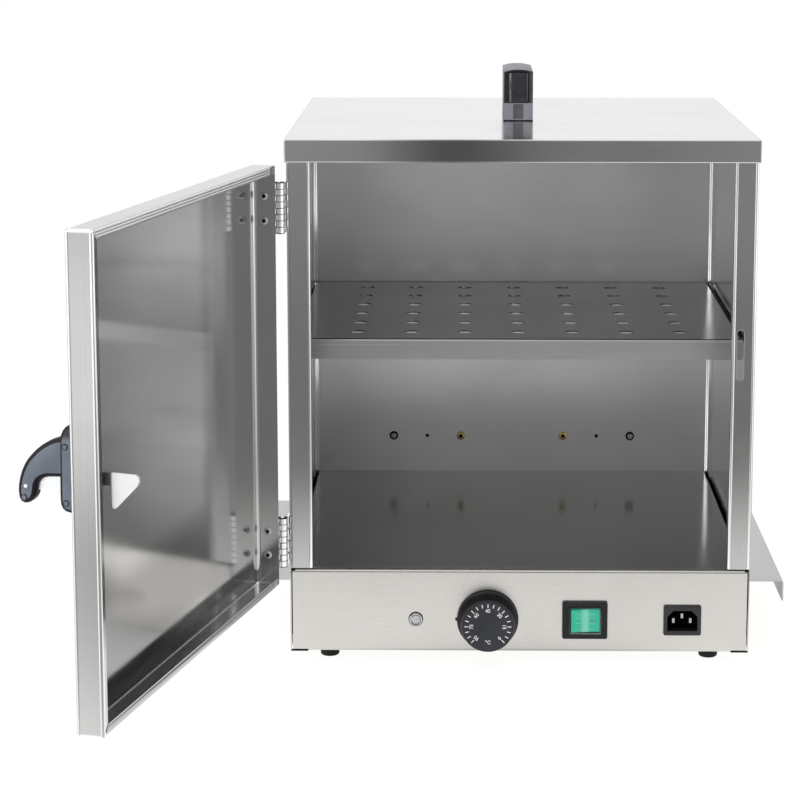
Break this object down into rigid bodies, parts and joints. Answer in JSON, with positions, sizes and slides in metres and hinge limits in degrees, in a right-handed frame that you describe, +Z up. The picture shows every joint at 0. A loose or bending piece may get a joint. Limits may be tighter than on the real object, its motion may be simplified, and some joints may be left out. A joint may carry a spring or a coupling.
{
  "type": "warming cabinet",
  "caption": "Stainless steel table-top warming cabinet with a hinged latching door, a perforated shelf, a carry handle, side grips and a front panel with dial, switch and inlet.",
  "frame": {"origin": "on the floor plane of the feet, under the middle of the object's box with the door stored open", "axes": "+X to the right seen from the front, +Y from the front to the back, +Z up"},
  "size_m": [0.5732, 0.7562, 0.4788],
  "materials": {
    "steel_sheet": "brushed",
    "bright_steel": "bright",
    "brass": "plain",
    "aluminium": "plain",
    "black_plastic": "satin",
    "pale_plastic": "matt",
    "clear_plastic": "clear",
    "green_plastic": "lit",
    "foot_rubber": "matt"
  },
  "bodies": {
    "cabinet": {"bottom_plate": "steel_sheet", "casing": "steel_sheet", "chamber_floor": "steel_sheet", "control_panel": "steel_sheet", "dial_bezel": "black_plastic", "foot_front_left": "foot_rubber", "foot_front_right": "foot_rubber", "foot_rear_left": "foot_rubber", "foot_rear_right": "foot_rubber", "heater_left": "aluminium", "heater_right": "aluminium", "heater_screw_left_inner": "brass", "heater_screw_left_outer": "steel_sheet", "heater_screw_right_inner": "brass", "heater_screw_right_outer": "steel_sheet", "hinge_bottom_frame_leaf": "steel_sheet", "hinge_bottom_pin": "bright_steel", "hinge_frame_screw_bottom_lower": "bright_steel", "hinge_frame_screw_bottom_upper": "bright_steel", "hinge_frame_screw_top_lower": "bright_steel", "hinge_frame_screw_top_upper": "bright_steel", "hinge_top_frame_leaf": "steel_sheet", "hinge_top_pin": "bright_steel", "indicator_bezel": "bright_steel", "indicator_lens": "clear_plastic", "inlet_blade_left": "bright_steel", "inlet_blade_middle": "bright_steel", "inlet_blade_right": "bright_steel", "lid_cover": "steel_sheet", "power_inlet": "black_plastic", "rear_cover": "steel_sheet", "rear_liner": "steel_sheet", "shelf_runner_left": "steel_sheet", "shelf_runner_right": "steel_sheet", "side_grip_left": "steel_sheet", "side_grip_right": "steel_sheet", "switch_cover": "clear_plastic", "switch_frame": "black_plastic", "thermostat_body": "pale_plastic", "top_handle": "black_plastic", "top_handle_screw_front": "bright_steel", "top_handle_screw_rear": "bright_steel"},
    "door": {"door_pan": "steel_sheet", "handle_housing": "black_plastic", "hinge_bottom_door_leaf": "steel_sheet", "hinge_top_door_leaf": "steel_sheet", "hinge_door_rivet_bottom_lower": "bright_steel", "hinge_door_rivet_bottom_upper": "bright_steel", "hinge_door_rivet_top_lower": "bright_steel", "hinge_door_rivet_top_upper": "bright_steel", "latch_pin": "bright_steel"},
    "latch": {"latch_lever": "bright_steel"},
    "dial": {"dial_knob": "black_plastic", "thermostat_shaft": "bright_steel"},
    "rocker": {"switch_rocker": "green_plastic"},
    "shelf": {"shelf": "steel_sheet"}
  },
  "joints": [
    {"name": "door_hinge", "type": "hinge", "parent": "cabinet", "child": "door", "pos_m": [-0.13394, -0.00458, 0.24], "axis": [0, 0, -1], "range_deg": [-104, 60]},
    {"name": "latch_pivot", "type": "hinge", "parent": "door", "child": "latch", "pos_m": [-0.27939, -0.35315, 0.2369], "axis": [-0.2419, -0.9703, 0], "range_deg": [0, 17], "stiffness_Nm_per_rad": 0.05, "springref_deg": -17.19},
    {"name": "dial_turn", "type": "hinge", "parent": "cabinet", "child": "dial", "pos_m": [0.03516, -0.00328, 0.0356], "axis": [0, 1, 0], "range_deg": [-135, 135]},
    {"name": "rocker_tilt", "type": "hinge", "parent": "cabinet", "child": "rocker", "pos_m": [0.11556, -0.00228, 0.0356], "axis": [0, 0, -1], "range_deg": [0, 12]},
    {"name": "shelf_lift", "type": "slide", "parent": "cabinet", "child": "shelf", "axis": [0, 0, 1], "range_m": [0, 0.08]}
  ]
}
